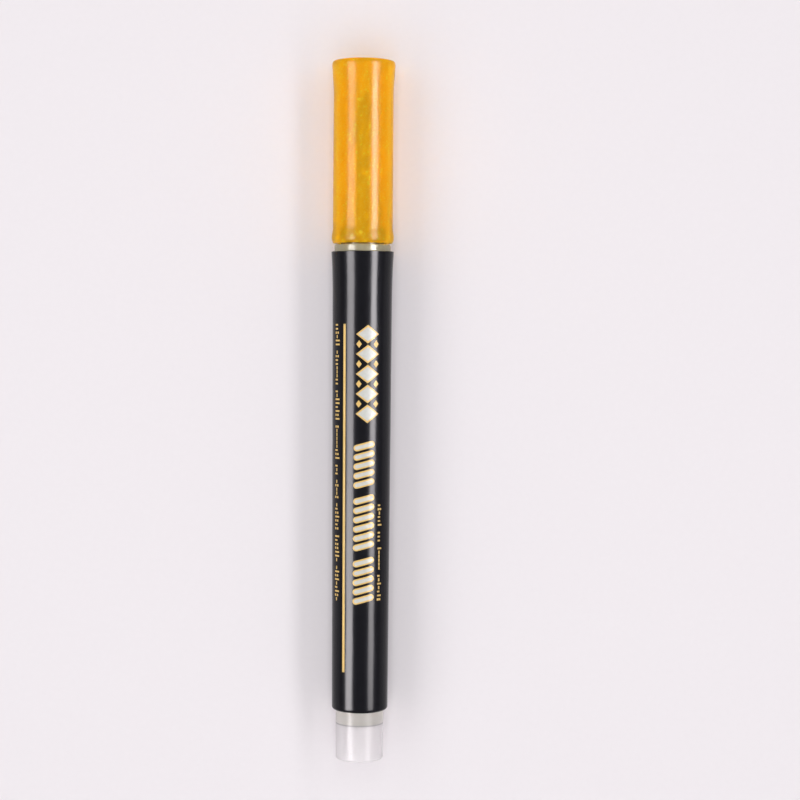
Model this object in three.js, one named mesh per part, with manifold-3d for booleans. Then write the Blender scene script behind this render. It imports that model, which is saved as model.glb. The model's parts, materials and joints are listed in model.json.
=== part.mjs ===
// A capped paint marker, lying on its side: amber push-on cap, clear barrel in a printed black film
// sleeve, clear tail plug. Under the cap a bullet nib stands in a conical front section, and pressing
// the nib opens a sprung valve that lets pigment ink through from the barrel.
//
// Millimetres. The pen's axis runs along Y with the cap's closed end towards +Y, +Z is up, and the
// origin is under the middle of the pen, on the surface it lies on. Nearly every piece is turned about
// the axis, so a profile is a list of [radius, station] points, where a station is the distance back
// from the cap's closed end.
import * as THREE from "three";
import { mergeVertices } from "three/addons/utils/BufferGeometryUtils.js";
import Module from "manifold-3d";

// Driving dimensions
const LENGTH = 140; // cap end to tail rim, with the cap on
const CAP_LENGTH = 36.6;
const CAP_RADIUS = 6.02; // the straight part of the cap
const SLEEVE_END = 130.15; // where the film stops and the tail plug comes out
const NIB_TIP = 6.2;

const SEGMENTS = 24; // sides of a turned piece
const PHASE = Math.PI / SEGMENTS; // half a side, which puts a flat side underneath
const FACE_GAP = 0.3; // between two faces that touch in the real pen
const SLIP = 0.05; // radial gap between a plug and its bore
const CHAMFER = 0.3; // on the edges of moulded pieces

// Cap: flared head, straight wall, swollen mouth with grip ribs inside
const CAP_HEAD_RADIUS = 6.33;
const CAP_HEAD_FLARE = 6.3; // length of the flare behind the head's edge
const CAP_HEAD_EDGE = 0.5; // rounding of the closed end's rim
const CAP_MOUTH_RADIUS = 6.09;
const CAP_MOUTH_SWELL = 3.2; // length over which the wall swells to the mouth
const CAP_MOUTH_EDGE = 0.15;
const CAP_WALL = 0.97;
const CAP_BORE = CAP_RADIUS - CAP_WALL;
const CAP_END_WALL = 1.2;
const RIB_COUNT = 6;
const RIB_WIDTH = 0.8;
const RIB_LENGTH = 5.4;
const RIB_SETBACK = 0.5; // from the mouth
const RIB_BORE = 4.68; // clears the neck's bead

// Inner cap: a thimble in the cap's end that seals on the front section's cone
const SEAL_FLANGE = 1.2; // thickness of the disc that it hangs from
const SEAL_FILLET = 0.4;
const SEAL_RADIUS = 3.3;
const SEAL_BORE = 2.35;
const SEAL_LIP_BORE = 2.5;
const SEAL_LIP_RADIUS = 2.95;
const SEAL_LIP_LENGTH = 1.5;
const SEAL_END = 16;
const SEAL_CAVITY = 3.2;
const SEAL_CAVITY_EDGE = 0.5;

// Nib and front section
const NIB_RADIUS = 1.3;
const NIB_END = 34;
const NIB_POINT = 2.2; // length of the bullet point
const NIB_BORE = 1.38;
const NIB_BORE_END = 26;
const FEED_BORE = 2.2; // wider bore behind the nib's guide
const NOSE_START = 11.6;
const NOSE_RADIUS = 1.95;
const CONE_END = 31.6;
const CONE_RADIUS = 4.1;
const FLANGE_RADIUS = 4.25;
const SOCKET_START = 35.4;
const SOCKET_BORE = 2.75;
const SECTION_END = 44.5;

// Valve
const VALVE_FIT = SOCKET_BORE - SLIP;
const SEAT_FRONT = 36.4;
const SEAT_BACK = 39.6;
const SEAT_BORE = 0.95;
const SEAT_FUNNEL = 1.2; // depth of the seat's cone
const STEM_RADIUS = 0.85;
const POPPET_RADIUS = 1.75;
const POPPET_FRONT = 38.6;
const POPPET_EDGE = 39.8;
const POPPET_BACK = 41;
const STEM_TAIL = 50.2;
const CAGE_BORE = 2.1;
const CAGE_FLOOR = 48.2;
const CAGE_END = 49.2;
const WINDOW_COUNT = 4;
const WINDOW_WIDTH = 1.6;
const WINDOW_FRONT = 45;
const WINDOW_BACK = 47.6;
const SPRING_RADIUS = 1.5; // to the middle of the wire
const SPRING_TURNS = 7;
const SPRING_CLOSING = 0.55; // how much closer the end turns lie than the middle ones
const WIRE_RADIUS = 0.18;

// Barrel: neck inside the cap, collar that shows behind it, flared shoulder, long taper
const NECK_START = 33.3;
const NECK_RADIUS = 4.42;
const NECK_BORE = 3.6;
const BEAD_STATION = 35; // of the rib round the neck that the cap grips
const BEAD_RADIUS = 4.63;
const BEAD_HALF = 0.5; // half its length where it meets the neck
const COLLAR_START = CAP_LENGTH + FACE_GAP;
const COLLAR_RADIUS = 5.66;
const COLLAR_EDGE = 0.12;
const SHOULDER_START = 38.2;
const FLARE_LENGTH = 9;
const FLARE_HEIGHT = 0.27;
const FLARE_STEPS = 5;
const FILM = 0.15; // thickness of the printed film
const FILM_GAP = 0.03;
const SKIN = FILM + FILM_GAP;
const SLEEVE_FRONT_RADIUS = 6; // of the straight taper, without the flare
const SLEEVE_TAIL_RADIUS = 5.57;
const LIP_RADIUS = 4.85; // where the film stops after folding over the rear rim
const BARREL_END = SLEEVE_END - SKIN;
const TAIL_EDGE = 0.45; // rounding of the barrel's rear rim
const BORE_START = 38.3;
const BORE_FRONT = 4.6;
const BORE_TAIL = 4.35;

// Tail plug: pressed into the barrel, cup-shaped in front, with a hollow skirt behind
const PLUG_FRONT = 122;
const PLUG_CUP_BORE = 3.4;
const PLUG_CUP_EDGE = 0.4;
const PLUG_RADIUS = 4.78;
const PLUG_RIM_RADIUS = 4.7;
const PLUG_WEB_FRONT = 130.65;
const PLUG_WEB_BACK = 133;
const PLUG_BORE = 3.6;
const PLUG_RIM_BORE = 3.7;

// Mixing ball, lying on the wall of the bore
const BALL_RADIUS = 2.2;
const BALL_STATION = 114;
const BALL_DROP = 2.05; // below the pen's axis

const wasm = await Module();
wasm.setup();

function plastic(color, roughness, opacity = 1) {
  const transparent = opacity < 1;
  return new THREE.MeshStandardMaterial({ color, roughness, metalness: 0, opacity, transparent });
}

const materials = {
  amber: plastic(0xf0a71e, 0.25, 0.85),
  clear: plastic(0xe4dcd8, 0.2, 0.5),
  natural: plastic(0xe8e6e0, 0.45, 0.9),
  film: plastic(0x212126, 0.3),
  grey: plastic(0x615f5a, 0.4),
  fibre: plastic(0x615e56, 0.9),
  steel: new THREE.MeshStandardMaterial({ color: 0xb9bcc0, roughness: 0.3, metalness: 1 }),
};

// Profile points round an arc about [radius, station]. 0 degrees points outwards, 90 to the tail.
function arc(radius, station, size, from, to, steps = 3) {
  return Array.from({ length: steps + 1 }, (_, i) => {
    const angle = THREE.MathUtils.degToRad(from + ((to - from) * i) / steps);
    return [radius + size * Math.cos(angle), station + size * Math.sin(angle)];
  });
}

// Profile points from one station to another, with the radius at each from a function.
function sweep(from, to, steps, radiusAt) {
  return Array.from({ length: steps + 1 }, (_, i) => {
    const station = from + ((to - from) * i) / steps;
    return [radiusAt(station), station];
  });
}

// Turns a profile that starts and ends on the axis, or a loop clear of it, which is closed here.
function turned(profile) {
  const points = profile.map(([radius, station]) => new THREE.Vector2(radius, -station));
  const onAxis = points[0].x === 0 && points.at(-1).x === 0;
  if (!onAxis) points.push(points[0].clone());
  if (THREE.ShapeUtils.area(points) < 0) points.reverse();
  return new THREE.LatheGeometry(points, SEGMENTS, PHASE);
}

// A box that reaches from one radius to another, turned about the axis.
function radialBox(innerRadius, outerRadius, front, back, width, angle) {
  return new THREE.BoxGeometry(outerRadius - innerRadius, back - front, width)
    .translate((innerRadius + outerRadius) / 2, -(front + back) / 2, 0)
    .rotateY(angle);
}

function solid(geometry) {
  const bare = geometry.clone();
  bare.deleteAttribute("normal");
  bare.deleteAttribute("uv");
  const merged = mergeVertices(bare);
  return new wasm.Manifold(
    new wasm.Mesh({
      numProp: 3,
      vertProperties: merged.attributes.position.array,
      triVerts: new Uint32Array(merged.index.array),
    }),
  );
}

function geometryOf(manifold) {
  const { vertProperties, triVerts } = manifold.getMesh();
  const geometry = new THREE.BufferGeometry()
    .setAttribute("position", new THREE.BufferAttribute(vertProperties, 3))
    .setIndex(new THREE.BufferAttribute(triVerts, 1));
  geometry.computeVertexNormals();
  return geometry;
}

// Solids of a box that is repeated around the axis.
function aroundAxis(count, boxAt) {
  return Array.from({ length: count }, (_, i) => solid(boxAt((2 * Math.PI * i) / count)));
}

function piece(name, geometry, material) {
  const mesh = new THREE.Mesh(geometry, material);
  mesh.name = name;
  return mesh;
}

function capShell() {
  const headRadius = (station) => {
    const share = (station - CAP_HEAD_EDGE) / CAP_HEAD_FLARE;
    const left = (1 + Math.cos(Math.PI * share)) / 2;
    return THREE.MathUtils.lerp(CAP_RADIUS, CAP_HEAD_RADIUS, left);
  };
  const flareEnd = CAP_HEAD_EDGE + CAP_HEAD_FLARE;
  const shell = solid(
    turned([
      [0, 0],
      ...arc(CAP_HEAD_RADIUS - CAP_HEAD_EDGE, CAP_HEAD_EDGE, CAP_HEAD_EDGE, -90, 0),
      ...sweep(CAP_HEAD_EDGE, flareEnd, FLARE_STEPS, headRadius).slice(1),
      [CAP_RADIUS, CAP_LENGTH - CAP_MOUTH_SWELL],
      [CAP_MOUTH_RADIUS, CAP_LENGTH - CHAMFER],
      [CAP_MOUTH_RADIUS - CAP_MOUTH_EDGE, CAP_LENGTH],
      [CAP_BORE + CAP_MOUTH_EDGE, CAP_LENGTH],
      [CAP_BORE, CAP_LENGTH - RIB_SETBACK],
      [CAP_BORE, CAP_END_WALL],
      [0, CAP_END_WALL],
    ]),
  );
  const ribEnd = CAP_LENGTH - RIB_SETBACK;
  const ribOuter = CAP_BORE + CAP_WALL / 2; // well into the wall
  const ribs = aroundAxis(RIB_COUNT, (angle) =>
    radialBox(RIB_BORE, ribOuter, ribEnd - RIB_LENGTH, ribEnd, RIB_WIDTH, angle),
  );
  const ribbed = ribs.reduce((whole, rib) => whole.add(rib), shell);
  return piece("cap_shell", geometryOf(ribbed), materials.amber);
}

function innerCap() {
  const top = CAP_END_WALL + FACE_GAP;
  const flangeBack = top + SEAL_FLANGE;
  const profile = [
    [0, top],
    [CAP_BORE - SLIP, top],
    [CAP_BORE - SLIP, flangeBack],
    [SEAL_RADIUS + SEAL_FILLET, flangeBack],
    [SEAL_RADIUS, flangeBack + SEAL_FILLET],
    [SEAL_RADIUS, SEAL_END - SEAL_LIP_LENGTH],
    [SEAL_LIP_RADIUS, SEAL_END],
    [SEAL_LIP_BORE, SEAL_END],
    [SEAL_BORE, SEAL_END - SEAL_LIP_LENGTH / 2],
    [SEAL_BORE, SEAL_CAVITY + SEAL_CAVITY_EDGE],
    [SEAL_BORE - SEAL_CAVITY_EDGE, SEAL_CAVITY],
    [0, SEAL_CAVITY],
  ];
  return piece("inner_cap", turned(profile), materials.natural);
}

function nib() {
  const tipRadius = (station) => {
    const left = 1 - (station - NIB_TIP) / NIB_POINT;
    return NIB_RADIUS * Math.sqrt(1 - left ** 2);
  };
  const profile = [
    ...sweep(NIB_TIP, NIB_TIP + NIB_POINT, FLARE_STEPS, tipRadius),
    [NIB_RADIUS, NIB_END - CHAMFER],
    [NIB_RADIUS - CHAMFER, NIB_END],
    [0, NIB_END],
  ];
  return piece("nib", turned(profile), materials.fibre);
}

function frontSection() {
  const flangeBack = NECK_START - FACE_GAP;
  const stemRadius = NECK_BORE - SLIP;
  const profile = [
    [NIB_BORE, NOSE_START],
    [NOSE_RADIUS - CHAMFER / 2, NOSE_START],
    [NOSE_RADIUS, NOSE_START + CHAMFER],
    [CONE_RADIUS, CONE_END],
    [FLANGE_RADIUS, CONE_END + CHAMFER],
    [FLANGE_RADIUS, flangeBack],
    [stemRadius, flangeBack],
    [stemRadius, SECTION_END - CHAMFER],
    [stemRadius - CHAMFER, SECTION_END],
    [SOCKET_BORE, SECTION_END],
    [SOCKET_BORE, SOCKET_START],
    [FEED_BORE, SOCKET_START],
    [FEED_BORE, NIB_BORE_END + FEED_BORE - NIB_BORE],
    [NIB_BORE, NIB_BORE_END],
  ];
  return piece("front_section", turned(profile), materials.natural);
}

function valveSeat() {
  const profile = [
    [SEAT_BORE, SEAT_FRONT],
    [VALVE_FIT - CHAMFER, SEAT_FRONT],
    [VALVE_FIT, SEAT_FRONT + CHAMFER],
    [VALVE_FIT, SEAT_BACK],
    [POPPET_RADIUS + CHAMFER, SEAT_BACK],
    [SEAT_BORE, SEAT_BACK - SEAT_FUNNEL],
  ];
  return piece("valve_seat", turned(profile), materials.natural);
}

function valveStem() {
  const front = NIB_END + FACE_GAP;
  const profile = [
    [0, front],
    [STEM_RADIUS, front],
    [STEM_RADIUS, POPPET_FRONT],
    [POPPET_RADIUS, POPPET_EDGE],
    [POPPET_RADIUS, POPPET_BACK],
    [STEM_RADIUS, POPPET_BACK],
    [STEM_RADIUS, STEM_TAIL - CHAMFER],
    [STEM_RADIUS - CHAMFER, STEM_TAIL],
    [0, STEM_TAIL],
  ];
  return piece("valve_stem", turned(profile), materials.grey);
}

// The centre line of a compression spring whose end turns lie closer than its middle ones.
class SpringCurve extends THREE.Curve {
  constructor(front, back) {
    super();
    this.front = front;
    this.length = back - front;
  }

  getPoint(t, target = new THREE.Vector3()) {
    const angle = 2 * Math.PI * SPRING_TURNS * t;
    const share = t - (SPRING_CLOSING * Math.sin(2 * Math.PI * t)) / (2 * Math.PI);
    const station = this.front + this.length * share;
    return target.set(SPRING_RADIUS * Math.cos(angle), -station, SPRING_RADIUS * Math.sin(angle));
  }
}

function valveSpring() {
  const wireSides = 6;
  const stepsPerTurn = 12;
  const endGap = WIRE_RADIUS + FACE_GAP / 3;
  const circle = new THREE.Path().absarc(0, 0, WIRE_RADIUS, 0, 2 * Math.PI);
  const section = new THREE.Shape(circle.getSpacedPoints(wireSides).slice(0, wireSides));
  const geometry = new THREE.ExtrudeGeometry(section, {
    steps: SPRING_TURNS * stepsPerTurn,
    extrudePath: new SpringCurve(POPPET_BACK + endGap, CAGE_FLOOR - endGap),
  });
  return piece("valve_spring", geometry, materials.steel);
}

function valveCage() {
  const cup = solid(
    turned([
      [CAGE_BORE, SEAT_BACK + FACE_GAP],
      [VALVE_FIT, SEAT_BACK + FACE_GAP],
      [VALVE_FIT, CAGE_END - CHAMFER],
      [VALVE_FIT - CHAMFER, CAGE_END],
      [SEAT_BORE, CAGE_END],
      [SEAT_BORE, CAGE_FLOOR],
      [CAGE_BORE, CAGE_FLOOR],
    ]),
  );
  const inner = CAGE_BORE - CHAMFER; // both a little past the wall that the window goes through
  const outer = VALVE_FIT + CHAMFER;
  const windows = aroundAxis(WINDOW_COUNT, (angle) =>
    radialBox(inner, outer, WINDOW_FRONT, WINDOW_BACK, WINDOW_WIDTH, angle),
  );
  const cage = windows.reduce((whole, window) => whole.subtract(window), cup);
  return piece("valve_cage", geometryOf(cage), materials.natural);
}

// Outer radius of the film sleeve: a straight taper, with a flare at the front that dies away.
function sleeveRadius(station) {
  const along = (station - SHOULDER_START) / (SLEEVE_END - SHOULDER_START);
  const taper = THREE.MathUtils.lerp(SLEEVE_FRONT_RADIUS, SLEEVE_TAIL_RADIUS, along);
  const left = Math.max(0, 1 - (station - SHOULDER_START) / FLARE_LENGTH);
  return taper + FLARE_HEIGHT * left ** 2;
}

// The outline of the tapered part of the body, a given depth under the film's outer face.
function bodyOutline(depth) {
  const edgeStation = BARREL_END - TAIL_EDGE;
  const edgeRadius = sleeveRadius(edgeStation) - SKIN - TAIL_EDGE;
  const outline = (station) => sleeveRadius(station) - depth;
  return [
    ...sweep(SHOULDER_START, SHOULDER_START + FLARE_LENGTH, FLARE_STEPS, outline),
    ...arc(edgeRadius, edgeStation, TAIL_EDGE + SKIN - depth, 0, 90),
  ];
}

function barrel() {
  const profile = [
    [NECK_BORE, NECK_START],
    [NECK_RADIUS - CHAMFER, NECK_START],
    [NECK_RADIUS, NECK_START + CHAMFER],
    [NECK_RADIUS, BEAD_STATION - BEAD_HALF],
    [BEAD_RADIUS, BEAD_STATION - BEAD_HALF / 2],
    [BEAD_RADIUS, BEAD_STATION + BEAD_HALF / 2],
    [NECK_RADIUS, BEAD_STATION + BEAD_HALF],
    [NECK_RADIUS, COLLAR_START],
    [COLLAR_RADIUS - COLLAR_EDGE, COLLAR_START],
    [COLLAR_RADIUS, COLLAR_START + COLLAR_EDGE],
    [COLLAR_RADIUS, SHOULDER_START],
    ...bodyOutline(SKIN),
    [BORE_TAIL, BARREL_END],
    [BORE_TAIL, PLUG_FRONT],
    [BORE_FRONT, BORE_START],
    [NECK_BORE, BORE_START - BORE_FRONT + NECK_BORE],
  ];
  return piece("barrel", turned(profile), materials.clear);
}

function printedSleeve() {
  const profile = [
    ...bodyOutline(0),
    [LIP_RADIUS, SLEEVE_END],
    [LIP_RADIUS, SLEEVE_END - FILM],
    ...bodyOutline(FILM).reverse(),
  ];
  return piece("printed_sleeve", turned(profile), materials.film);
}

function endPlug() {
  const fitRadius = BORE_TAIL - SLIP;
  const shoulder = BARREL_END + SLIP;
  const cupFront = PLUG_FRONT + FACE_GAP;
  const profile = [
    [0, PLUG_WEB_FRONT],
    [PLUG_CUP_BORE - PLUG_CUP_EDGE, PLUG_WEB_FRONT],
    [PLUG_CUP_BORE, PLUG_WEB_FRONT - PLUG_CUP_EDGE],
    [PLUG_CUP_BORE, cupFront],
    [fitRadius - CHAMFER, cupFront],
    [fitRadius, cupFront + CHAMFER],
    [fitRadius, shoulder],
    [PLUG_RADIUS, shoulder],
    [PLUG_RIM_RADIUS, LENGTH - CHAMFER],
    [PLUG_RIM_RADIUS - CHAMFER, LENGTH],
    [PLUG_RIM_BORE, LENGTH],
    [PLUG_BORE, PLUG_WEB_BACK + CHAMFER],
    [PLUG_BORE - CHAMFER, PLUG_WEB_BACK],
    [0, PLUG_WEB_BACK],
  ];
  return piece("end_plug", turned(profile), materials.clear);
}

function mixingBall() {
  const ball = piece("mixing_ball", new THREE.SphereGeometry(BALL_RADIUS, 18, 12), materials.steel);
  ball.position.set(0, -BALL_STATION, -BALL_DROP);
  return ball;
}

function assembly(...pieces) {
  const group = new THREE.Group();
  group.add(...pieces);
  return group;
}

const cap = assembly(capShell(), innerCap());
const tip = assembly(nib(), frontSection());
const valve = assembly(valveSeat(), valveStem(), valveSpring(), valveCage());
const body = assembly(barrel(), printedSleeve(), endPlug(), mixingBall());

// Stations run from the cap's end towards -Y, so the pen moves forward by half its length.
const marker = assembly(cap, tip, valve, body);
marker.position.set(0, LENGTH / 2, CAP_HEAD_RADIUS * Math.cos(PHASE));

export default marker;
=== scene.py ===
"""Looks of the capped paint marker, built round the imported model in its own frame, in metres.

The pen lies along Y with the cap's closed end towards +Y. Every turned piece takes its section from
its own CAD node, gets rounded edges and a fine surface, and rides on that node's body.
"""
import json
import math
import random

import bmesh
import bpy
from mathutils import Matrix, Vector, noise


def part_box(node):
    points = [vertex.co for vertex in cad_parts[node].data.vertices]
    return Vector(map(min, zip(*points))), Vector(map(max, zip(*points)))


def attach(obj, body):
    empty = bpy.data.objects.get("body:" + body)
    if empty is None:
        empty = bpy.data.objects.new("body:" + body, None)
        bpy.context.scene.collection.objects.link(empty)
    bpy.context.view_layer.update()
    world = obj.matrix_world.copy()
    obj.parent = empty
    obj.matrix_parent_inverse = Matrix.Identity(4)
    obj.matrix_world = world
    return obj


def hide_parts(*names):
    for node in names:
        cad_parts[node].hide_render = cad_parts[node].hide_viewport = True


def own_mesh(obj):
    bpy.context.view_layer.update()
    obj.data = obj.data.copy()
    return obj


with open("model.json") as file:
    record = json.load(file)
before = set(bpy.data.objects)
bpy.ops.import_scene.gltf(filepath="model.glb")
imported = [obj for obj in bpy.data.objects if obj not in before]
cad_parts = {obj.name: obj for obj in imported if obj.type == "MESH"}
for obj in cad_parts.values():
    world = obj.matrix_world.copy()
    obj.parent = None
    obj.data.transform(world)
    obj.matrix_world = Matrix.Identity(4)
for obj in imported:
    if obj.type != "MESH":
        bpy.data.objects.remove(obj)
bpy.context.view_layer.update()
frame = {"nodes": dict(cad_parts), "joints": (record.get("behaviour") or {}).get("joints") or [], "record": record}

MM = 0.001
JOINTS = {joint["name"]: joint for joint in frame["joints"]}
BODY_OF = {
    node: body
    for body, nodes in frame["record"]["behaviour"]["bodies"].items()
    for node in nodes
}
AXIS_Z = JOINTS["cap_twist"]["pos_m"][2]
CAP_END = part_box("cap_shell")[1].y
CAP_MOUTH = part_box("cap_shell")[0].y
SLEEVE_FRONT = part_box("printed_sleeve")[1].y
SLEEVE_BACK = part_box("printed_sleeve")[0].y
PLUG_WEB_BACK = CAP_END - 133 * MM

# How the pen is seen
VIEW_DISTANCE = 383 * MM  # from the lens to the pen's axis
LENS = 85.7  # for a 36 mm wide picture
VIEW_OFFSET = 7.62 * MM  # the camera stands this far to the pen's right
VIEW_BEHIND_END = 54.5 * MM  # and this far behind the cap's end
VIEW_DROP = -0.084  # share of the picture that the framing is moved down
LEAN = math.radians(0.387)  # the pen's lean to the right in the picture
FLOOR_DEPTH = 6.33 * MM  # under the pen's axis: the radius of the cap's end

# The studio. Radiance 1 makes white paper white if it comes from all round.
LAMP_DISTANCE = 500 * MM
LAMP_LENGTH = 950 * MM
SOFT_BOXES = {
    "left": {"angle": -45, "span": 26, "light": 1.40},
    "right": {"angle": 42, "span": 11, "light": 3.10},
    "top": {"angle": 0, "span": 20, "light": 2.20},
}
SHEENS = {
    "left": {"angle": -44.5, "span": 28, "shine": (55.0, 20.0)},
    "right": {"angle": 46.5, "span": 22, "shine": (16.5, 87.0)},
}
SHEEN_LENGTH = 400 * MM
SHEEN_COLOR = (1.0, 0.955, 0.975)
GLOSS_IOR = 1.2  # the sheens are strong, so that plastic with this little gloss shows them
ROOM_ENDS = 0.8  # the room's radiance seen along the pen, level with it
ROOM_SIDES = 0.25  # and straight across the pen and straight up

# Painted shade
MOUTH_SHADE_BLEND = 0.4 * MM  # over which painted shade darkens the barrel inside the cap's mouth
WEB_SHADE = 0.22 * MM  # half the width of the shaded line at the back of the plug's web

# Sections
MERIDIAN = 37.5  # degrees round from the top where a node's section is read: clear of the cap's ribs
SHARP = math.radians(33)  # a section turning more than this at a point has an edge there
LONG = 5 * MM  # a section's straight stretches are longer than this
EDGE = 0.12 * MM  # rounding of a moulded edge
FINE_STEP = 0.18 * MM  # between points along a curved stretch
SUPPORT = 0.1 * MM  # from an edge's rounding to the next point


# ------------------------------------------------------------------ camera, light and floor

def add_camera():
    data = bpy.data.cameras.new("camera")
    data.lens = LENS
    data.sensor_width = 36
    data.shift_y = VIEW_DROP
    data.clip_start = 10 * MM
    camera = bpy.data.objects.new("camera", data)
    camera.location = (VIEW_OFFSET, CAP_END - VIEW_BEHIND_END, AXIS_Z + VIEW_DISTANCE)
    camera.rotation_euler = (0, 0, LEAN)
    bpy.context.scene.collection.objects.link(camera)
    bpy.context.scene.camera = camera


def add_strip_light(name, angle, span, length):
    """A light parallel to the pen, at an angle from straight above it and with a span of view, both in
    degrees. Its radiance is 1."""
    data = bpy.data.lights.new(name, "AREA")
    data.shape = "RECTANGLE"
    data.size = 2 * LAMP_DISTANCE * math.tan(math.radians(span / 2))
    data.size_y = length
    data.energy = math.pi * data.size * data.size_y
    light = bpy.data.objects.new(name, data)
    angle = math.radians(angle)
    light.location = (math.sin(angle) * LAMP_DISTANCE, 0, AXIS_Z + math.cos(angle) * LAMP_DISTANCE)
    light.rotation_euler = (0, angle, 0)
    bpy.context.scene.collection.objects.link(light)
    return light


def grade_light(data, at_tail, at_cap):
    """Makes an area light's strength run from one end of it to the other."""
    data.use_nodes = True
    nodes, links = data.node_tree.nodes, data.node_tree.links
    place = nodes.new("ShaderNodeNewGeometry")
    split = nodes.new("ShaderNodeSeparateXYZ")
    run = nodes.new("ShaderNodeMapRange")
    run.inputs["To Min"].default_value = at_tail
    run.inputs["To Max"].default_value = at_cap
    links.new(place.outputs["Parametric"], split.inputs[0])
    links.new(split.outputs["Y"], run.inputs["Value"])
    links.new(run.outputs[0], nodes["Emission"].inputs["Strength"])


def add_room():
    """Soft light from all round, brighter from beyond the pen's two ends than from its sides."""
    world = bpy.data.worlds.new("studio")
    world.use_nodes = True
    nodes, links = world.node_tree.nodes, world.node_tree.links
    way = nodes.new("ShaderNodeTexCoord")
    split = nodes.new("ShaderNodeSeparateXYZ")
    square = nodes.new("ShaderNodeMath")
    square.operation = "MULTIPLY"
    level = nodes.new("ShaderNodeMapRange")
    level.inputs["To Min"].default_value = ROOM_SIDES
    level.inputs["To Max"].default_value = ROOM_ENDS
    links.new(way.outputs["Generated"], split.inputs[0])
    links.new(split.outputs["Y"], square.inputs[0])
    links.new(split.outputs["Y"], square.inputs[1])
    links.new(square.outputs[0], level.inputs["Value"])
    links.new(level.outputs[0], nodes["Background"].inputs["Strength"])
    nodes["Background"].inputs["Color"].default_value = (1.0, 0.985, 1.0, 1)
    bpy.context.scene.world = world


def add_studio():
    """The room, the soft boxes that light the paper, and the sheens that only gloss shows."""
    add_room()
    for name, box in SOFT_BOXES.items():
        light = add_strip_light("soft_box_" + name, box["angle"], box["span"], LAMP_LENGTH)
        light.data.energy *= box["light"]
        light.visible_glossy = False
    for name, sheen in SHEENS.items():
        light = add_strip_light("sheen_" + name, sheen["angle"], sheen["span"], SHEEN_LENGTH)
        light.visible_diffuse = False
        light.visible_transmission = False
        light.data.color = SHEEN_COLOR
        grade_light(light.data, *sheen["shine"])
    bpy.context.scene.view_settings.view_transform = "Standard"


def add_floor():
    mesh = bpy.data.meshes.new("floor")
    half, height = 1.5, AXIS_Z - FLOOR_DEPTH
    corners = [(-half, -half, height), (half, -half, height), (half, half, height), (-half, half, height)]
    mesh.from_pydata(corners, [], [(0, 1, 2, 3)])
    floor = bpy.data.objects.new("floor", mesh)
    mesh.materials.append(paper())
    bpy.context.scene.collection.objects.link(floor)


# ------------------------------------------------------------------ materials

def new_material(name):
    material = bpy.data.materials.new(name)
    material.use_nodes = True
    material.node_tree.nodes.clear()
    return material


def put(material, kind, inputs=None, **settings):
    """Adds a shader node. An input is a value, or the output socket of another node."""
    node = material.node_tree.nodes.new("ShaderNode" + kind)
    for key, value in settings.items():
        setattr(node, key, value)
    for key, value in (inputs or {}).items():
        if isinstance(value, bpy.types.NodeSocket):
            material.node_tree.links.new(value, node.inputs[key])
        else:
            node.inputs[key].default_value = value
    return node


def finish_material(material, shader):
    put(material, "OutputMaterial", {"Surface": shader.outputs[0]})
    return material


def pattern_space(material, stretch=(1, 1, 1)):
    coords = put(material, "TexCoord").outputs["Object"]
    return put(material, "Mapping", {"Vector": coords, "Scale": stretch}).outputs[0]


def noise_of(material, size, detail=2, roughness=0.5, stretch=(1, 1, 1)):
    """Smooth noise whose features are about size metres across."""
    space = pattern_space(material, stretch)
    inputs = {"Vector": space, "Scale": 1 / size, "Detail": detail, "Roughness": roughness}
    return put(material, "TexNoise", inputs).outputs["Fac"]


def cells_of(material, size):
    """Random cells about size metres across: a Voronoi texture node."""
    return put(material, "TexVoronoi", {"Vector": pattern_space(material), "Scale": 1 / size})


def along_pen(material):
    """The shaded point's y."""
    return put(material, "SeparateXYZ", {0: pattern_space(material)}).outputs["Y"]


def spread(material, value, low, high, from_low=0.0, from_high=1.0):
    """value, moved from one range into another."""
    inputs = {
        "Value": value,
        "From Min": from_low,
        "From Max": from_high,
        "To Min": low,
        "To Max": high,
    }
    return put(material, "MapRange", inputs).outputs[0]


def two_colors(material, share, first, second):
    """A blend of two colours, each a tuple or another node's output."""
    node = put(material, "Mix", data_type="RGBA")
    material.node_tree.links.new(share, node.inputs[0])
    for index, color in ((6, first), (7, second)):
        if isinstance(color, tuple):
            node.inputs[index].default_value = (*color, 1)
        else:
            material.node_tree.links.new(color, node.inputs[index])
    return node.outputs[2]


def bump(material, height, depth):
    return put(material, "Bump", {"Height": height, "Distance": depth}).outputs[0]


def principled(material, color, **inputs):
    """A Principled shader. Keys are its sockets' names with _ for a space."""
    sockets = {key.replace("_", " "): value for key, value in inputs.items()}
    sockets["Base Color"] = (*color, 1) if isinstance(color, tuple) else color
    return put(material, "BsdfPrincipled", sockets)


def lit_through(material, shader, tint):
    """Lets lamps shine through a refracting shader with a tint, so it is lit from inside."""
    clear = put(material, "BsdfTransparent", {"Color": (*tint, 1)})
    path = put(material, "LightPath")
    inputs = {0: path.outputs["Is Shadow Ray"], 1: shader.outputs[0], 2: clear.outputs[0]}
    return put(material, "MixShader", inputs)


def paper():
    material = new_material("pale_paper")
    grain = noise_of(material, 1.1 * MM, 3)
    color = two_colors(material, grain, (0.85, 0.808, 0.835), (0.87, 0.828, 0.855))
    return finish_material(material, principled(material, color, Roughness=0.95, Specular_IOR_Level=0.0))


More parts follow.
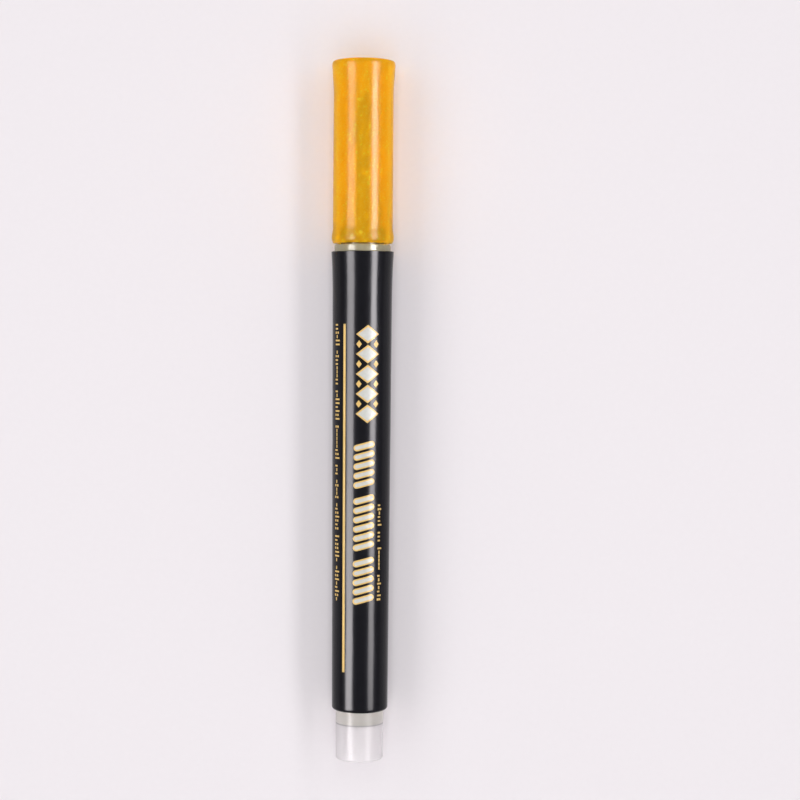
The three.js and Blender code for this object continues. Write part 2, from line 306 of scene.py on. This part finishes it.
def amber_plastic():
    """Translucent amber filled with fine pearl flakes."""
    material = new_material("amber_plastic")
    cloud = noise_of(material, 3.5 * MM, 4, 0.6)
    body = two_colors(material, cloud, (1.0, 0.555, 0.003), (1.0, 0.635, 0.006))
    grain = cells_of(material, 0.22 * MM)
    grain_tone = spread(material, grain.outputs["Color"], 0.0, 0.7)
    grained = two_colors(material, grain_tone, body, (1.0, 0.74, 0.02))
    flakes = cells_of(material, 0.3 * MM)
    rare = spread(material, flakes.outputs["Color"], 0, 1, 0.80, 0.88)
    color = two_colors(material, rare, grained, (1.0, 0.84, 0.05))
    relief = bump(material, noise_of(material, 0.22 * MM, 2), 0.017 * MM)
    shader = principled(
        material,
        color,
        Transmission_Weight=spread(material, rare, 0.79, 0.3),
        Roughness=0.3,
        IOR=1.12,
        Specular_IOR_Level=0.0,
        Normal=relief,
        Coat_Weight=0.3,
        Coat_Roughness=0.16,
        Coat_IOR=GLOSS_IOR,
    )
    return finish_material(material, lit_through(material, shader, (0.28, 0.18, 0.03)))


def black_film():
    material = new_material("black_film")
    mottle = noise_of(material, 1.4 * MM, 3, 0.6)
    color = two_colors(material, mottle, (0.006, 0.006, 0.008), (0.010, 0.010, 0.013))
    fine = noise_of(material, 0.6 * MM, 3, 0.6)
    long_lines = noise_of(material, 0.35 * MM, 3, 0.6, (1, 0.06, 1))
    relief = bump(material, fine, 0.004 * MM)
    shader = principled(
        material,
        color,
        Roughness=spread(material, long_lines, 0.14, 0.24),
        IOR=GLOSS_IOR,
        Normal=relief,
    )
    return finish_material(material, shader)


def gold_foil():
    material = new_material("gold_foil")
    wear = noise_of(material, 0.4 * MM, 3, 0.65)
    color = two_colors(material, wear, (0.70, 0.43, 0.11), (0.86, 0.62, 0.24))
    roughness = spread(material, wear, 0.25, 0.4)
    return finish_material(material, principled(material, color, Roughness=roughness, IOR=GLOSS_IOR))


def silver_foil():
    material = new_material("silver_foil")
    wear = noise_of(material, 0.6 * MM, 3, 0.6)
    color = two_colors(material, wear, (0.52, 0.52, 0.50), (0.68, 0.68, 0.65))
    roughness = spread(material, wear, 0.25, 0.4)
    return finish_material(material, principled(material, color, Roughness=roughness, IOR=GLOSS_IOR))


def clear_plug_plastic():
    """Clear moulded plastic with a faint milkiness. Ink tints it as far as the back of its web, where a grey line
    of painted shade runs round it.
    """
    material = new_material("clear_plug_plastic")
    flow = noise_of(material, 2.5 * MM, 2, 0.5, (1, 0.3, 1))
    clear = two_colors(material, flow, (0.88, 0.86, 0.87), (0.93, 0.91, 0.92))
    y = along_pen(material)
    inked = spread(material, y, 0, 1, PLUG_WEB_BACK, PLUG_WEB_BACK + WEB_SHADE)
    tinted = two_colors(material, inked, clear, (0.86, 0.84, 0.785))
    # painted shade: a grey line at the back of the web, where its edge darkens the view through the wall
    before_line = spread(material, y, 1, 0, PLUG_WEB_BACK + WEB_SHADE, PLUG_WEB_BACK + 2 * WEB_SHADE)
    line = spread(material, y, 0, before_line, PLUG_WEB_BACK, PLUG_WEB_BACK + WEB_SHADE)
    color = two_colors(material, line, tinted, (0.42, 0.42, 0.43))
    shader = principled(
        material,
        color,
        Transmission_Weight=0.7,
        Roughness=0.28,
        IOR=1.12,
        Normal=bump(material, flow, 0.003 * MM),
        Coat_Weight=0.3,
        Coat_Roughness=0.14,
        Coat_IOR=GLOSS_IOR,
    )
    return finish_material(material, shader)


def stained_and_shaded_barrel_plastic():
    """Clear plastic with the pearl ink's stain in it, and painted shade that darkens it inside the cap's mouth."""
    material = new_material("stained_and_shaded_barrel_plastic")
    cloud = noise_of(material, 1.2 * MM, 3, 0.6)
    stain = two_colors(material, cloud, (0.38, 0.34, 0.22), (0.50, 0.46, 0.32))
    # painted shade: the barrel turns dark inside the cap's mouth, where the cap shades it
    mouth_shade = spread(material, along_pen(material), 0, 1, CAP_MOUTH - MOUTH_SHADE_BLEND, CAP_MOUTH)
    color = two_colors(material, mouth_shade, stain, (0.16, 0.15, 0.10))
    relief = bump(material, noise_of(material, 0.5 * MM, 2), 0.005 * MM)
    shader = principled(
        material,
        color,
        Transmission_Weight=0.25,
        Roughness=0.2,
        IOR=1.3,
        Normal=relief,
    )
    return finish_material(material, shader)


def pearl_ink():
    material = new_material("pearl_ink")
    flow = noise_of(material, 1.8 * MM, 3, 0.6)
    flakes = cells_of(material, 0.18 * MM)
    color = two_colors(material, flow, (0.46, 0.45, 0.41), (0.62, 0.61, 0.56))
    speckled = two_colors(
        material,
        spread(material, flakes.outputs["Color"], 0, 0.4),
        color,
        (0.85, 0.84, 0.80),
    )
    return finish_material(material, principled(material, speckled, Roughness=0.38, IOR=GLOSS_IOR))


def moulded(name, dark, light, roughness):
    """Satin moulded plastic."""
    material = new_material(name)
    cloud = noise_of(material, 2.8 * MM, 3, 0.6)
    relief = bump(material, noise_of(material, 0.4 * MM, 2), 0.004 * MM)
    shader = principled(
        material,
        two_colors(material, cloud, dark, light),
        Roughness=spread(material, cloud, roughness - 0.05, roughness + 0.05),
        IOR=GLOSS_IOR,
        Normal=relief,
    )
    return finish_material(material, shader)


def milky_polyethylene():
    """Natural polyethylene, which lets a blurred view through."""
    material = new_material("milky_polyethylene")
    cloud = noise_of(material, 2 * MM, 3, 0.6)
    color = two_colors(material, cloud, (0.90, 0.88, 0.82), (0.96, 0.95, 0.91))
    relief = bump(material, noise_of(material, 0.5 * MM, 2), 0.005 * MM)
    shader = principled(
        material,
        color,
        Transmission_Weight=0.93,
        Roughness=0.1,
        IOR=1.1,
        Normal=relief,
    )
    return finish_material(material, shader)


def pressed_fibre():
    material = new_material("nib_fibre")
    strands = noise_of(material, 0.2 * MM, 3, 0.6, (1, 0.06, 1))
    color = two_colors(material, strands, (0.04, 0.037, 0.03), (0.10, 0.093, 0.075))
    relief = bump(material, strands, 0.03 * MM)
    return finish_material(material, principled(material, color, Roughness=0.85, Normal=relief))


def polished_steel():
    material = new_material("polished_steel")
    drawn = noise_of(material, 0.35 * MM, 2)
    roughness = spread(material, drawn, 0.15, 0.3)
    color = two_colors(material, drawn, (0.55, 0.56, 0.57), (0.64, 0.65, 0.66))
    return finish_material(material, principled(material, color, Metallic=1.0, Roughness=roughness))


# ------------------------------------------------------------------ sections read from the CAD nodes

def pairs_of(points, closed):
    """Neighbours in a list of points."""
    pairs = list(zip(points, points[1:]))
    return pairs + [(points[-1], points[0])] if closed else pairs


def section_of(node):
    """A turned node's outline in the half plane through the axis, as a list of Vector((radius, y)) in
    order, and whether it closes on itself. It is read along one line of the node's own vertices."""
    mesh = bmesh.new()
    mesh.from_mesh(frame["nodes"][node].data)
    bmesh.ops.remove_doubles(mesh, verts=mesh.verts, dist=1e-7)
    found = {}
    for vert in mesh.verts:
        radius = math.hypot(vert.co.x, vert.co.z - AXIS_Z)
        angle = math.degrees(math.atan2(vert.co.x, vert.co.z - AXIS_Z))
        if radius < 1e-6 or abs(angle - MERIDIAN) < 0.05:
            found[vert.index] = Vector((radius, vert.co.y))
    links = {index: [] for index in found}
    for edge in mesh.edges:
        a, b = (vert.index for vert in edge.verts)
        if a in found and b in found:
            links[a].append(b)
            links[b].append(a)
    mesh.free()
    ends = [index for index in found if found[index].x < 1e-6]
    path = [ends[0] if ends else min(found)]
    while True:
        ahead = [index for index in links[path[-1]] if index not in path]
        if not ahead:
            break
        path.append(ahead[0])
    return [found[index] for index in path], not ends


def heading(a, b):
    return (b - a).normalized()


def curved(a, b, leave, arrive):
    """Points from a to b, without b, on a curve that leaves and arrives in the given directions."""
    length = (b - a).length
    steps = max(2, math.ceil(length / FINE_STEP))
    points = []
    for i in range(steps):
        t = i / steps
        h = (
            2 * t**3 - 3 * t**2 + 1,
            t**3 - 2 * t**2 + t,
            3 * t**2 - 2 * t**3,
            t**3 - t**2,
        )
        points.append(h[0] * a + h[1] * length * leave + h[2] * b + h[3] * length * arrive)
    return points


def straight(a, b, step):
    """Points from a to b, without b, with one close to each end that keeps the shading flat."""
    length = (b - a).length
    if length < 3 * SUPPORT:
        return [a]
    direction = heading(a, b)
    inner = length - 2 * SUPPORT
    count = max(1, math.ceil(inner / step))
    return [a] + [a + direction * (SUPPORT + inner * i / count) for i in range(count + 1)]


def rounded_corner(a, corner, b, steps=4):
    """Points from a to b round a corner, without b."""
    return [
        (1 - t) ** 2 * a + 2 * t * (1 - t) * corner + t**2 * b
        for t in (i / steps for i in range(steps))
    ]


def refined(section, closed, edge=EDGE, step=2 * MM):
    """The section with its edges rounded and its curved stretches made smooth."""
    pairs = pairs_of(section, closed)
    ways = [heading(a, b) for a, b in pairs]
    sizes = [(b - a).length for a, b in pairs]
    count = len(section)
    cuts, tangents = [0.0] * count, [None] * count
    for i in range(count):
        before, after = (i - 1) % len(pairs), i % len(pairs)
        if not closed and i in (0, count - 1):
            continue
        turn = ways[before].angle(ways[after])
        if turn > SHARP:
            cuts[i] = min(edge * math.tan(turn / 2), 0.4 * sizes[before], 0.4 * sizes[after])
        elif sizes[before] > LONG:
            tangents[i] = ways[before]
        elif sizes[after] > LONG:
            tangents[i] = ways[after]
        else:
            tangents[i] = (ways[before] * sizes[after] + ways[after] * sizes[before]).normalized()
    points = []
    for k, (a, b) in enumerate(pairs):
        i, j = k, (k + 1) % count
        start, end = a + ways[k] * cuts[i], b - ways[k] * cuts[j]
        leave, arrive = tangents[i] or ways[k], tangents[j] or ways[k]
        bend = leave.angle(ways[k]) + arrive.angle(ways[k])
        if sizes[k] > LONG or bend < math.radians(0.2):
            points += straight(start, end, step)
        else:
            points += curved(start, end, leave, arrive)
        if not closed and k == len(pairs) - 1:
            points.append(end)
        elif cuts[j]:
            points += rounded_corner(end, b, b + ways[(k + 1) % len(pairs)] * cuts[j])
    return points


# ------------------------------------------------------------------ meshes

def place(radius, y, angle):
    """A point round the pen's axis. Angle 0 is straight up, and it grows towards +X."""
    return Vector((radius * math.sin(angle), y, AXIS_Z + radius * math.cos(angle)))


def object_from(name, mesh, material, body):
    """A finished piece from a bmesh: outward normals, smooth faces, riding on its body."""
    bmesh.ops.recalc_face_normals(mesh, faces=mesh.faces)
    data = bpy.data.meshes.new(name)
    mesh.to_mesh(data)
    mesh.free()
    for polygon in data.polygons:
        polygon.use_smooth = True
    data.materials.append(material)
    piece = bpy.data.objects.new(name, data)
    bpy.context.scene.collection.objects.link(piece)
    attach(piece, body)
    return piece


def turned_mesh(points, closed, segments, shape=None):
    """Turns a section about the pen's axis. shape may move each (radius, y, angle)."""
    mesh = bmesh.new()
    rings = []
    for point in points:
        count = 1 if point.x < 1e-7 else segments
        ring = []
        for i in range(count):
            angle = 2 * math.pi * i / segments
            radius, y = shape(point.x, point.y, angle) if shape else point
            ring.append(mesh.verts.new(place(radius, y, angle)))
        rings.append(ring)
    for ring_a, ring_b in pairs_of(rings, closed):
        for i in range(segments):
            j = (i + 1) % segments
            corners = [ring_a[i % len(ring_a)], ring_a[j % len(ring_a)]]
            corners += [ring_b[j % len(ring_b)], ring_b[i % len(ring_b)]]
            unique = list(dict.fromkeys(corners))
            if len(unique) > 2:
                mesh.faces.new(unique)
    return mesh


def turned_piece(node, material, segments=128, edge=EDGE, step=2 * MM, shape=None):
    """A fine version of a turned CAD node, which it replaces."""
    section, closed = section_of(node)
    points = refined(section, closed, edge, step)
    mesh = turned_mesh(points, closed, segments, shape)
    piece = object_from("fine_" + node, mesh, material, BODY_OF[node])
    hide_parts(node)


def dress(node, material):
    """Gives a CAD node that keeps its own shape a finer material."""
    for slot in frame["nodes"][node].material_slots:
        slot.material = material


def smooth_step(value, low, high):
    t = min(1.0, max(0.0, (value - low) / (high - low)))
    return t * t * (3 - 2 * t)


def ripple(angle, turns, seed):
    """Smooth noise round the pen, from -1 to 1, that closes on itself."""
    reach = turns / (2 * math.pi)
    return noise.noise(Vector((reach * math.sin(angle), reach * math.cos(angle), seed)))


# ------------------------------------------------------------------ cap

RIB_COUNT = 6
RIB_START = CAP_MOUTH + 0.5 * MM
RIB_LENGTH = 5.4 * MM
RIB_HALF = 0.4 * MM
RIB_RISE = 0.37 * MM
BORE_RADIUS = 5.05 * MM
GATE_RADIUS = 0.9 * MM
GATE_DEPTH = 0.22 * MM


def cap_shape(radius, y, angle):
    """Grip ribs inside the mouth and a small gate dimple in the middle of the closed end."""
    if abs(radius - BORE_RADIUS) < 0.02 * MM and y < RIB_START + RIB_LENGTH:
        pitch = 2 * math.pi / RIB_COUNT
        offset = (angle - math.pi / RIB_COUNT + pitch / 2) % pitch - pitch / 2
        across = 1 - smooth_step(abs(offset) * radius, 0.5 * RIB_HALF, 1.3 * RIB_HALF)
        along = smooth_step(y, RIB_START, RIB_START + 0.5 * MM)
        along *= 1 - smooth_step(y, RIB_START + RIB_LENGTH - 0.6 * MM, RIB_START + RIB_LENGTH)
        radius -= RIB_RISE * across * along
    if y > CAP_END - 0.01 * MM and radius < 2 * GATE_RADIUS:
        y -= GATE_DEPTH * (1 - smooth_step(radius, 0.3 * GATE_RADIUS, GATE_RADIUS))
    return radius, y


def add_cap():
    turned_piece("cap_shell", amber_plastic(), 176, 0.16 * MM, 0.4 * MM, cap_shape)


# ------------------------------------------------------------------ sleeve and its print

FILM_WAVE = 0.035 * MM
SEAM_RISE = 0.03 * MM
SEAM_HALF = 0.6 * MM


def film_swell(radius, y, angle):
    """How far the film stands off its plain surface: slack waves, and the weld along the back."""
    slack = noise.noise(Vector((3 * math.sin(angle), y / (9 * MM), 3 * math.cos(angle))))
    crease = noise.noise(Vector((9 * math.sin(angle), y / (1.6 * MM), 9 * math.cos(angle))))
    near_front = smooth_step(y, SLEEVE_FRONT - 22 * MM, SLEEVE_FRONT - 9 * MM)
    swell = FILM_WAVE * (0.5 + 0.35 * slack + 0.12 * crease * near_front)
    weld = 1 - smooth_step(abs(angle - math.pi) * radius, 0.5 * SEAM_HALF, SEAM_HALF)
    return swell + SEAM_RISE * weld


def film_shape(radius, y, angle):
    """The slack in the film and the unevenness of its two cut edges."""
    front = smooth_step(y, SLEEVE_FRONT - 0.8 * MM, SLEEVE_FRONT)
    back = 1 - smooth_step(y, SLEEVE_BACK, SLEEVE_BACK + 0.8 * MM)
    swell = film_swell(radius, y, angle) * (1 - max(front, back))
    y -= front * 0.16 * MM * (0.5 + 0.5 * ripple(angle, 14, 1.5))
    y += back * 0.1 * MM * (0.5 + 0.5 * ripple(angle, 9, 7.5))
    return radius + swell, y


def add_sleeve():
    turned_piece("printed_sleeve", black_film(), 128, 0.05 * MM, 0.7 * MM, film_shape)


# Print: a generic border and rows of small marks in gold and silver foil, in place of any lettering
FOIL_BOTTOM = 0.005 * MM  # above the film
GOLD_TOP = 0.02 * MM
SILVER_TOP = 0.032 * MM
PRINT_CUT = 0.3 * MM  # the foil's faces are cut this fine to follow the round film
OUTLINE = 0.3 * MM  # width of gold left round the silver
RULE = {"angle": -34.6, "start": 52.8, "end": 122.0, "width": 0.55}
LOZENGES = {"angle": 12.5, "start": 54.8, "end": 70.6, "count": 5, "width": 4.7, "length": 3.7}
BEAD = {"offset": 1.75, "width": 1.1, "length": 1.5}
BARS = {"angle": 7.0, "groups": ((77.0, 84.4, 5), (87.6, 96.8, 6), (100.0, 107.4, 5))}
BAR = {"reach": 1.5, "slant": 0.4, "width": 1.3}
MARK_ROWS = (
    {"angle": -54.0, "start": 53.0, "end": 108.5, "height": 1.35, "seed": 3},
    {"angle": 41.5, "start": 88.8, "end": 108.0, "height": 0.95, "seed": 8},
)
MARK_PITCH = 0.78 * MM
MARK_STROKE = 0.33 * MM
BAR_END_STEPS = 8


def station(distance_in_mm):
    """The y of a place that far behind the cap's end."""
    return CAP_END - distance_in_mm * MM


def film_taper():
    """The two ends of the outer line of the film's long taper."""
    section, closed = section_of("printed_sleeve")
    long_lines = [pair for pair in pairs_of(section, closed) if (pair[1] - pair[0]).length > 50 * MM]
    return max(long_lines, key=lambda pair: pair[0].x + pair[1].x)


def on_film(around, y, lift, angle, taper):
    """A point of the print: around is measured on the film's surface, from the angle of its middle."""
    a, b = taper
    radius = a.x + (b.x - a.x) * (y - a.y) / (b.y - a.y)
    turn = angle + around / radius
    return place(radius + film_swell(radius, y, turn) + lift, y, turn)


def flat_cells(outlines):
    """The outlines as faces in a flat plane, cut into strips that can bend."""
    mesh = bmesh.new()
    for outline in outlines:
        mesh.faces.new([mesh.verts.new((p.x, p.y, 0)) for p in outline])
    bmesh.ops.triangulate(mesh, faces=mesh.faces)
    low = min(vert.co.x for vert in mesh.verts)
    high = max(vert.co.x for vert in mesh.verts)
    count = math.ceil((high - low) / PRINT_CUT)
    for i in range(1, count):
        geometry = mesh.verts[:] + mesh.edges[:] + mesh.faces[:]
        cut = (low + (high - low) * i / count, 0, 0)
        bmesh.ops.bisect_plane(mesh, geom=geometry, dist=1e-7, plane_co=cut, plane_no=(1, 0, 0))
    return mesh


def foil_piece(name, outlines, angle, top, material, taper):
    """Thin foil shapes on the film: closed solids from just above it to a height of top."""
    flat = flat_cells(outlines)
    flat.verts.index_update()
    angle = math.radians(angle)
    mesh = bmesh.new()
    lower = [mesh.verts.new(on_film(v.co.x, v.co.y, FOIL_BOTTOM, angle, taper)) for v in flat.verts]
    upper = [mesh.verts.new(on_film(v.co.x, v.co.y, top, angle, taper)) for v in flat.verts]
    for face in flat.faces:
        corners = [vert.index for vert in face.verts]
        mesh.faces.new([upper[i] for i in corners])
        mesh.faces.new([lower[i] for i in reversed(corners)])
    for edge in flat.edges:
        if len(edge.link_faces) == 1:
            i, j = (vert.index for vert in edge.verts)
            mesh.faces.new([lower[i], lower[j], upper[j], upper[i]])
    flat.free()
    piece = object_from(name, mesh, material, BODY_OF["printed_sleeve"])
    for polygon in piece.data.polygons:
        polygon.use_smooth = False


def lozenge(x, y, width, length):
    tips = ((1, 0), (0, 1), (-1, 0), (0, -1))
    return [Vector((x + i * width / 2, y + j * length / 2)) for i, j in tips]


def round_bar(y, width, reach, slant):
    """A bar across the print with round ends."""
    tip = Vector((reach, slant))
    turn = math.atan2(slant, reach)
    outline = []
    for side in (0, math.pi):
        center = Vector((0, y)) + (tip if side == 0 else -tip)
        for i in range(BAR_END_STEPS + 1):
            angle = turn + side - math.pi / 2 + math.pi * i / BAR_END_STEPS
            outline.append(center + Vector((math.cos(angle), math.sin(angle))) * width / 2)
    return outline


def evenly(start, end, count):
    """The y of places spread evenly between two stations."""
    return [station(start + (end - start) * i / (count - 1)) for i in range(count)]


def rectangle(x, y, width, length):
    corners = ((-1, -1), (1, -1), (1, 1), (-1, 1))
    return [Vector((x + i * width / 2, y + j * length / 2)) for i, j in corners]


def mark_shapes(row):
    """Ticks, dashes and dots of random kinds, in groups, along the pen."""
    rng = random.Random(row["seed"])
    height = row["height"] * MM
    y = station(row["start"])
    shapes, left_in_group = [], 6
    while y > station(row["end"]):
        if left_in_group == 0:
            left_in_group = rng.randint(3, 9)
        else:
            left_in_group -= 1
            kind = rng.choice(("tick", "short", "dots", "dash"))
            if kind == "tick":
                shapes.append(rectangle(0, y, height, MARK_STROKE))
            elif kind == "short":
                shapes.append(rectangle(-0.2 * height, y, 0.6 * height, MARK_STROKE))
            elif kind == "dots":
                shapes.append(rectangle(-0.35 * height, y, 1.3 * MARK_STROKE, 1.3 * MARK_STROKE))
                shapes.append(rectangle(0.15 * height, y, 1.3 * MARK_STROKE, 1.3 * MARK_STROKE))
            else:
                shapes.append(rectangle(-0.1 * height, y, MARK_STROKE, 0.8 * MARK_PITCH))
        y -= MARK_PITCH
    return shapes


def add_print():
    taper = film_taper()
    gold, silver = gold_foil(), silver_foil()
    middle = station((RULE["start"] + RULE["end"]) / 2)
    length = (RULE["end"] - RULE["start"]) * MM
    rule = rectangle(0, middle, RULE["width"] * MM, length)
    foil_piece("print_rule", [rule], RULE["angle"], GOLD_TOP, gold, taper)
    for i, row in enumerate(MARK_ROWS):
        foil_piece(f"print_marks_{i}", mark_shapes(row), row["angle"], GOLD_TOP, gold, taper)
    for name, top, material, shrink in (
        ("edge", GOLD_TOP, gold, 0.0),
        ("core", SILVER_TOP, silver, OUTLINE),
    ):
        lozenges = [
            lozenge(0, y, LOZENGES["width"] * MM - 2.8 * shrink, LOZENGES["length"] * MM - 2.8 * shrink)
            for y in evenly(LOZENGES["start"], LOZENGES["end"], LOZENGES["count"])
        ]
        foil_piece(f"print_lozenges_{name}", lozenges, LOZENGES["angle"], top, material, taper)
        bars = [
            round_bar(y, BAR["width"] * MM - 2 * shrink, BAR["reach"] * MM, BAR["slant"] * MM)
            for group in BARS["groups"]
            for y in evenly(*group)
        ]
        foil_piece(f"print_bars_{name}", bars, BARS["angle"], top, material, taper)
    between = evenly(LOZENGES["start"], LOZENGES["end"], 2 * LOZENGES["count"] - 1)[1::2]
    beads = [
        lozenge(side * BEAD["offset"] * MM, y, BEAD["width"] * MM, BEAD["length"] * MM)
        for y in between
        for side in (-1, 1)
    ]
    foil_piece("print_beads", beads, LOZENGES["angle"], GOLD_TOP, gold, taper)


# ------------------------------------------------------------------ inside the barrel

SPRING_RADIUS = 1.5 * MM  # to the middle of the wire
SPRING_TURNS = 7
SPRING_CLOSING = 0.55  # how much closer its end turns lie than its middle ones
WIRE_RADIUS = 0.18 * MM
WIRE_SIDES = 12
STEPS_PER_TURN = 40
INK_FILM = 0.05 * MM
INK_OUTLINE = (
    (4.55, 38.5), (4.31, 122.05), (3.36, 122.1), (3.36, 130.21), (2.96, 130.61), (0.0, 130.61),
)


def add_spring(material):
    """A closed-end compression spring, which the valve's stem shortens."""
    low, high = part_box("valve_spring")
    front, back = high.y - WIRE_RADIUS, low.y + WIRE_RADIUS
    count = SPRING_TURNS * STEPS_PER_TURN
    mesh = bmesh.new()
    rings = []
    for i in range(count + 1):
        t = i / count
        angle = 2 * math.pi * SPRING_TURNS * t
        share = t - SPRING_CLOSING * math.sin(2 * math.pi * t) / (2 * math.pi)
        y = front + (back - front) * share
        end_taper = smooth_step(min(t, 1 - t) * count, -1, 3)
        ring = []
        for k in range(WIRE_SIDES):
            turn = 2 * math.pi * k / WIRE_SIDES
            radius = SPRING_RADIUS + WIRE_RADIUS * end_taper * math.cos(turn)
            lift = WIRE_RADIUS * end_taper * math.sin(turn)
            center = (radius * math.cos(angle), y + lift, AXIS_Z + radius * math.sin(angle))
            ring.append(mesh.verts.new(center))
        rings.append(ring)
    for ring_a, ring_b in pairs_of(rings, False):
        for k in range(WIRE_SIDES):
            j = (k + 1) % WIRE_SIDES
            mesh.faces.new([ring_a[k], ring_a[j], ring_b[j], ring_b[k]])
    mesh.faces.new(rings[0])
    mesh.faces.new(rings[-1])
    node = "valve_spring"
    piece = object_from("fine_valve_spring", mesh, material, BODY_OF[node])
    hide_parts(node)
    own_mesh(piece)


def add_ball(material):
    low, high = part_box("mixing_ball")
    mesh = bmesh.new()
    bmesh.ops.create_icosphere(mesh, subdivisions=5, radius=(high.y - low.y) / 2)
    bmesh.ops.translate(mesh, verts=mesh.verts, vec=(low + high) / 2)
    piece = object_from("fine_mixing_ball", mesh, material, BODY_OF["mixing_ball"])
    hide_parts("mixing_ball")


def add_ink():
    """The film of ink that wets the barrel's bore and the plug's cup."""
    outer = [Vector((radius * MM, station(distance))) for radius, distance in INK_OUTLINE]
    inner = [
        Vector((max(0.0, p.x - INK_FILM), p.y + (INK_FILM if i > 1 else 0)))
        for i, p in enumerate(outer)
    ]
    points = []
    for a, b in pairs_of(outer, False):
        points += straight(a, b, 3 * MM)
    points.append(outer[-1])
    for a, b in pairs_of(inner[::-1], False):
        points += straight(a, b, 3 * MM)
    points.append(inner[0])
    mesh = turned_mesh(points, True, 128)
    object_from("ink_film", mesh, pearl_ink(), "barrel")


# ------------------------------------------------------------------ the pen

add_camera()
add_studio()
add_floor()
add_cap()
add_sleeve()
add_print()
add_ink()
pale = moulded("pale_plastic", (0.74, 0.73, 0.70), (0.82, 0.81, 0.78), 0.4)
grey = moulded("grey_plastic", (0.10, 0.096, 0.083), (0.14, 0.135, 0.115), 0.4)
milky = milky_polyethylene()
steel = polished_steel()
turned_piece("inner_cap", milky)
add_spring(steel)
add_ball(steel)
turned_piece("nib", pressed_fibre())
turned_piece("front_section", milky)
turned_piece("valve_seat", pale)
turned_piece("valve_stem", grey)
dress("valve_cage", pale)
turned_piece("barrel", stained_and_shaded_barrel_plastic(), 160)
turned_piece("end_plug", clear_plug_plastic(), 160)
